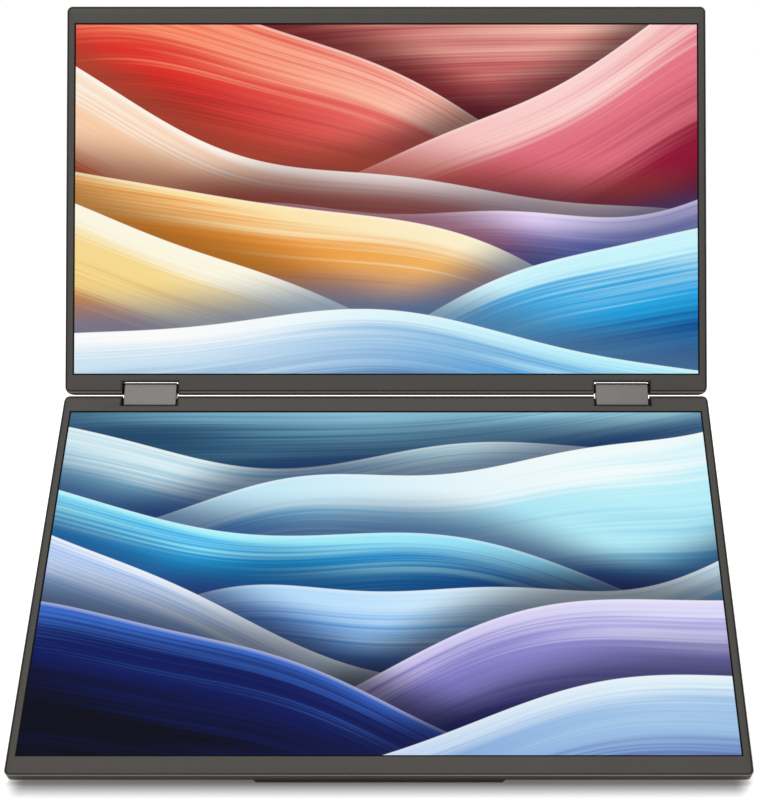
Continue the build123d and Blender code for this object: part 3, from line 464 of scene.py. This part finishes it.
def dressEdges(mesh, name):
    toHalf = halfFrame(name).inverted()
    turn = toHalf.to_3x3()
    points = [toHalf @ vertex.co for vertex in mesh.vertices]
    lowest = min(point.y for point in points)
    front = max(point.z for point in points)
    hingeX = blockMiddle()
    least, most = edgeLook["lipSlant"][name]
    mesh.materials.append(lipHighlightFinish)  # 1
    mesh.materials.append(paintedShadeFinish)  # 2
    for face in mesh.polygons:
        spot = toHalf @ face.center
        onLip = spot.y - lowest < edgeLook["lipNear"] and front - spot.z < edgeLook["lipDepth"]
        # faces in the hinge notches get the painted black shade
        if abs(abs(spot.x) - hingeX) < edgeLook["notchReach"] and abs(spot.y) < edgeLook["notchDepth"]:
            face.material_index = 2
        # lip faces slanted towards the light get the painted highlight
        elif onLip and least < (turn @ face.normal).z < most:
            face.material_index = 1


def dressWindow(mesh, name):  # the bezel's inner edge round the lit area is painted black, a painted shade
    toHalf = halfFrame(name).inverted()
    turn = toHalf.to_3x3()
    middle = half[name]["litLow"] + lit["height"] / 2
    mesh.materials.append(paintedShadeFinish)
    for face in mesh.polygons:
        spot = toHalf @ face.center
        past = max(abs(spot.x) - lit["width"] / 2, abs(spot.y - middle) - lit["height"] / 2)
        if past < edgeLook["windowNear"] and (turn @ face.normal).z < edgeLook["windowTilt"]:
            face.material_index = 1


def smoothCopy(nodeName):
    solid = frame["nodes"][nodeName]
    mesh = solid.data.copy()
    welded = bmesh.new()
    welded.from_mesh(mesh)
    bmesh.ops.remove_doubles(welded, verts=welded.verts, dist=smoothed["weld"])
    halfName = nodeName.split("_")[0]
    if nodeName in edgeLook["covers"]:
        trimNotch(welded, halfName, notchTrim)
        cutNotchRims(welded, halfName)
    if nodeName in edgeLook["bezels"]:
        trimNotch(welded, halfName, plateTrim)
    welded.to_mesh(mesh)
    welded.free()
    mesh.shade_smooth()
    mesh.set_sharp_from_angle(angle=radians(smoothed["crease"]))
    copy = addPiece("smooth_" + nodeName, mesh, bodyOfNode[nodeName], solid.data.materials[0])
    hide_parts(nodeName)
    copy.modifiers.new("evenShading", "WEIGHTED_NORMAL").keep_sharp = True  # flat faces stay flat
    if nodeName in edgeLook["covers"]:
        dressEdges(mesh, halfName)
    if nodeName in edgeLook["bezels"]:
        dressWindow(mesh, halfName)


for nodeName in smoothed["nodes"]:
    smoothCopy(nodeName)
print("smooth copies:", len(smoothed["nodes"]))


# fine dark mesh behind the speaker slots, and gold contacts on the socket tongues

meshLook = {"speakers": ["speaker_left", "speaker_right"], "length": 0.0264, "width": 0.008, "thick": 0.00015,
            "sink": 0.00105, "threads": 2600, "dark": (8, 8, 9), "light": (38, 38, 39), "roughness": 0.6,
            "bump": 0.4, "bumpDepth": 0.00005}
contactLook = {"pins": {"usb_c_port_1": 12, "usb_c_port_2": 12, "mini_hdmi_port": 10}, "pitch": 0.0005,
               "width": 0.00026, "proud": 0.00004, "tongue": 0.0007, "setback": 0.0016, "length": 0.0044,
               "slot": "socket_steel", "dark": (178, 134, 60), "light": (216, 174, 92),
               "strokes": (400, 3000, 3000), "patchScale": 600,
               "roughness": (0.2, 0.32), "metallic": 1, "bump": 0.1, "bumpDepth": 0.00001}


def halfCentre(name, nodeName):
    low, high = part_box(nodeName)
    return halfFrame(name).inverted() @ ((low + high) / 2)


def addBlock(form, middle, size):
    shape = bmesh.ops.create_cube(form, size=1)
    bmesh.ops.scale(form, vec=size, verts=shape["verts"])
    bmesh.ops.translate(form, vec=middle, verts=shape["verts"])


def finishMesh(form, name, turn):
    bmesh.ops.transform(form, matrix=turn, verts=form.verts)
    bmesh.ops.recalc_face_normals(form, faces=form.faces)
    mesh = bpy.data.meshes.new(name)
    form.to_mesh(mesh)
    form.free()
    return mesh


def wovenFinish(name, look):
    finish, tree, shader, coords = newFinish(name)
    place = tree.nodes.new("ShaderNodeMapping")
    place.vector_type = "TEXTURE"
    place.inputs["Rotation"].default_value = (radians(half["lower"]["tilt"]), 0, 0)
    tree.links.new(coords, place.inputs["Vector"])
    split = tree.nodes.new("ShaderNodeSeparateXYZ")
    tree.links.new(place.outputs[0], split.inputs[0])
    warp = sums(tree, "SINE", sums(tree, "MULTIPLY", split.outputs[0], look["threads"] * 2 * pi))
    weft = sums(tree, "SINE", sums(tree, "MULTIPLY", split.outputs[1], look["threads"] * 2 * pi))
    weave = spread(tree, sums(tree, "MAXIMUM", warp, weft), 0, 1, 0, 1)
    colour = blendColour(tree, weave, toLinear(*look["dark"]), toLinear(*look["light"]))
    tree.links.new(colour, shader.inputs["Base Color"])
    shader.inputs["Roughness"].default_value = look["roughness"]
    relief(tree, shader, weave, look["bump"], look["bumpDepth"])
    return finish


def addSpeakerMesh():
    woven = wovenFinish("speakerMesh", meshLook)
    for nodeName in meshLook["speakers"]:
        form = bmesh.new()
        middle = halfCentre("lower", nodeName) - Vector((0, 0, meshLook["sink"]))
        addBlock(form, middle, (meshLook["length"], meshLook["width"], meshLook["thick"]))
        name = nodeName + "_mesh"
        mesh = finishMesh(form, name, halfFrame("lower"))
        addPiece(name, mesh, bodyOfNode[nodeName], woven)


def addContacts():
    gold = brushedFinish("contactGold", contactLook)
    size = (contactLook["length"], contactLook["width"], contactLook["proud"])
    for nodeName, pins in contactLook["pins"].items():
        form = bmesh.new()
        middle = halfCentre("lower", nodeName)
        middle.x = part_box(nodeName)[1].x - contactLook["setback"] - contactLook["length"] / 2
        for pin in range(pins):
            across = (pin - (pins - 1) / 2) * contactLook["pitch"]
            for side in (-1, 1):
                up = side * (contactLook["tongue"] + contactLook["proud"]) / 2
                addBlock(form, middle + Vector((0, across, up)), size)
        name = nodeName + "_contacts"
        mesh = finishMesh(form, name, halfFrame("lower"))
        addPiece(name, mesh, bodyOfNode[nodeName], gold)


# black washers on the hinge shafts, between each block and its notch; their black is painted shade for the gaps
# beside the blocks
washerLook = {"inner": 0.00131, "outer": 0.0027, "thick": 0.00083, "bevel": 0.0002, "steps": 36,
              "blocks": ["hinge_housing_left", "hinge_housing_right"], "notchGap": 0.00095,
              "slot": "speaker_plastic"}


def addWasher(form, middle):
    side, outer, bevel = washerLook["thick"] / 2, washerLook["outer"], washerLook["bevel"]
    outline = [(-side, washerLook["inner"]), (-side, outer - bevel), (bevel - side, outer),
               (side - bevel, outer), (side, outer - bevel), (side, washerLook["inner"])]
    rim = [form.verts.new((middle + x, y, 0)) for x, y in outline]
    edges = [form.edges.new((rim[i - 1], rim[i])) for i in range(len(rim))]
    bmesh.ops.spin(form, geom=rim + edges, cent=(0, 0, 0), axis=(1, 0, 0), angle=2 * pi,
                   steps=washerLook["steps"], use_merge=True)


def addWashers():
    for name in half:
        form = bmesh.new()
        for nodeName in washerLook["blocks"]:
            box = [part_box(node) for node in (nodeName, nodeName.replace("housing", "end_cap"))]
            low = min(corners[0].x for corners in box)
            high = max(corners[1].x for corners in box)
            addWasher(form, low - washerLook["notchGap"] / 2)
            addWasher(form, high + washerLook["notchGap"] / 2)
        piece = name + "_hinge_washers"
        mesh = finishMesh(form, piece, halfFrame(name))
        addPiece(piece, mesh, name + "_display", paintedShadeFinish)


addSpeakerMesh()
addContacts()
addWashers()
print("speaker mesh, contacts and washers added")


# camera, at the photograph's viewing angle

cameraLook = {"place": (0.0237, -0.65469, 0.30791), "tilt": 79.33, "lens": 66.3, "sensor": 36,
              "shiftX": -0.0633}


def setCamera():
    camera = bpy.data.cameras.new("camera")
    camera.lens = cameraLook["lens"]
    camera.sensor_width = cameraLook["sensor"]
    camera.shift_x = cameraLook["shiftX"]
    holder = bpy.data.objects.new("camera", camera)
    holder.location = cameraLook["place"]
    holder.rotation_euler = (radians(cameraLook["tilt"]), 0, 0)
    bpy.context.scene.collection.objects.link(holder)
    bpy.context.scene.camera = holder


setCamera()

# floor and light

# the floor is darkened by position near the front edge: a painted contact shadow
floorLook = {"size": 30, "colour": (243, 243, 243), "lift": 0.3, "farLift": 0.5, "far": (0.5, 1.6),
             "halfWidth": 0.167, "sideFade": 2.2, "strip": 0.02, "paintedContactShadow": (0.003, 0.025), "shade": 0.32}
worldLook = {"seen": 1, "fill": 0.62}
lamps = [
    {"name": "keyLamp", "place": (-0.3, -0.75, 2.0), "size": 1.7, "power": 22},
    {"name": "frontLamp", "place": (-0.3, -1.7, 0.5), "size": 1.2, "power": 5.5},
    {"name": "backLamp", "place": (0.4, 1.3, 1.5), "size": 1.4, "power": 12},
]


def seenRay(tree):
    path = tree.nodes.new("ShaderNodeLightPath").outputs
    return sums(tree, "MAXIMUM", sums(tree, "MAXIMUM", path["Is Camera Ray"], path["Is Glossy Ray"]),
                path["Is Transmission Ray"])


def floorFinish():
    finish = bpy.data.materials.new("floorPaperPaintedShadow")
    finish.use_nodes = True
    tree = finish.node_tree
    tree.nodes.clear()
    coords = tree.nodes.new("ShaderNodeTexCoord").outputs["Object"]
    split = tree.nodes.new("ShaderNodeSeparateXYZ")
    tree.links.new(coords, split.inputs[0])
    beside = sums(tree, "SUBTRACT", sums(tree, "ABSOLUTE", split.outputs[0]), floorLook["halfWidth"])
    beside = sums(tree, "MULTIPLY", beside, floorLook["sideFade"])
    middle = floorLook["strip"] / 2  # the strip of floor under the front edge, where a shadow is painted
    along = sums(tree, "ABSOLUTE", sums(tree, "SUBTRACT", split.outputs[1], middle))
    along = sums(tree, "SUBTRACT", along, middle)
    offset = tree.nodes.new("ShaderNodeCombineXYZ")
    for socket, value in zip(offset.inputs, (beside, along)):
        tree.links.new(sums(tree, "MAXIMUM", value, 0), socket)
    lengths = []
    for vector in (offset.outputs[0], coords):
        node = tree.nodes.new("ShaderNodeVectorMath")
        node.operation = "LENGTH"
        tree.links.new(vector, node.inputs[0])
        lengths.append(node.outputs["Value"])
    seen = seenRay(tree)
    # painted contact shadow, fading with distance from the strip
    paintedContactShadow = spread(tree, lengths[0], *floorLook["paintedContactShadow"], floorLook["shade"], 1, "SMOOTHSTEP")
    far = spread(tree, lengths[1], *floorLook["far"], floorLook["lift"], floorLook["farLift"], "SMOOTHSTEP")
    white = toLinear(*floorLook["colour"])
    shadowedPaper = blendColour(tree, paintedContactShadow, black, white)
    matt = tree.nodes.new("ShaderNodeBsdfDiffuse")
    tree.links.new(blendColour(tree, seen, white, shadowedPaper), matt.inputs["Color"])
    glow = tree.nodes.new("ShaderNodeEmission")
    strength = sums(tree, "MULTIPLY", seen, sums(tree, "MULTIPLY", paintedContactShadow, far))
    tree.links.new(strength, glow.inputs["Strength"])
    both = tree.nodes.new("ShaderNodeAddShader")
    tree.links.new(matt.outputs[0], both.inputs[0])
    tree.links.new(glow.outputs[0], both.inputs[1])
    out = tree.nodes.new("ShaderNodeOutputMaterial")
    tree.links.new(both.outputs[0], out.inputs["Surface"])
    return finish


def setFloor():
    sheet = bmesh.new()
    bmesh.ops.create_grid(sheet, x_segments=1, y_segments=1, size=floorLook["size"] / 2)
    mesh = bpy.data.meshes.new("floor")
    sheet.to_mesh(mesh)
    sheet.free()
    floor = bpy.data.objects.new("floor", mesh)
    bpy.context.scene.collection.objects.link(floor)
    mesh.materials.append(floorFinish())


def setWorld():
    world = bpy.data.worlds.new("studio")
    world.use_nodes = True
    tree = world.node_tree
    backdrop = tree.nodes["Background"]
    backdrop.inputs["Color"].default_value = (1, 1, 1, 1)
    strength = spread(tree, seenRay(tree), 0, 1, worldLook["fill"], worldLook["seen"])
    tree.links.new(strength, backdrop.inputs["Strength"])
    bpy.context.scene.world = world


def setLamps():
    aim = (solidBox[0] + solidBox[1]) / 2
    for look in lamps:
        lamp = bpy.data.lights.new(look["name"], "AREA")
        lamp.size = look["size"]
        lamp.energy = look["power"]
        holder = bpy.data.objects.new(look["name"], lamp)
        holder.location = look["place"]
        holder.rotation_euler = (aim - holder.location).to_track_quat("-Z", "Y").to_euler()
        bpy.context.scene.collection.objects.link(holder)


setFloor()
setWorld()
setLamps()
bpy.context.scene.view_settings.view_transform = "Standard"
print("camera, floor and lamps set")
